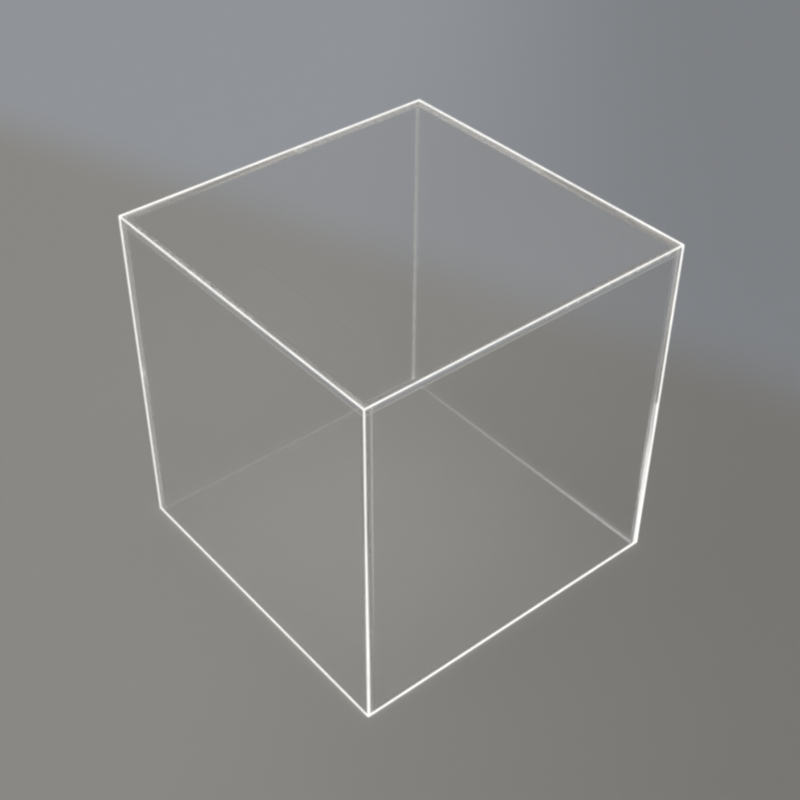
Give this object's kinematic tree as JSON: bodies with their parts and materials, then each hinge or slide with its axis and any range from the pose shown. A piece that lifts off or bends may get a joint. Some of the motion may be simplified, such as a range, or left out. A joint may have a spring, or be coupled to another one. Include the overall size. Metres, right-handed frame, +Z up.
{
  "type": "acrylic display cube",
  "caption": "Clear acrylic display cube cemented from sheet, closed at the top and open at the bottom, to stand over an exhibit or on a plinth.",
  "frame": {"origin": "centre of the open mouth, in the plane of the rim that the cube stands on", "axes": "+Z up, from the open mouth to the lid; +X to the right and +Y to the back, where the side walls at -X and +X run the full depth and cover the ends of the front and back walls"},
  "size_m": [0.3, 0.3, 0.3062],
  "materials": {
    "clear_acrylic": "polished",
    "acrylic_cement": "satin"
  },
  "bodies": {
    "root": {"top_panel": "clear_acrylic", "front_panel": "clear_acrylic", "back_panel": "clear_acrylic", "left_panel": "clear_acrylic", "right_panel": "clear_acrylic", "top_front_seam": "acrylic_cement", "top_back_seam": "acrylic_cement", "top_left_seam": "acrylic_cement", "top_right_seam": "acrylic_cement", "front_left_seam": "acrylic_cement", "front_right_seam": "acrylic_cement", "back_left_seam": "acrylic_cement", "back_right_seam": "acrylic_cement"}
  },
  "joints": []
}
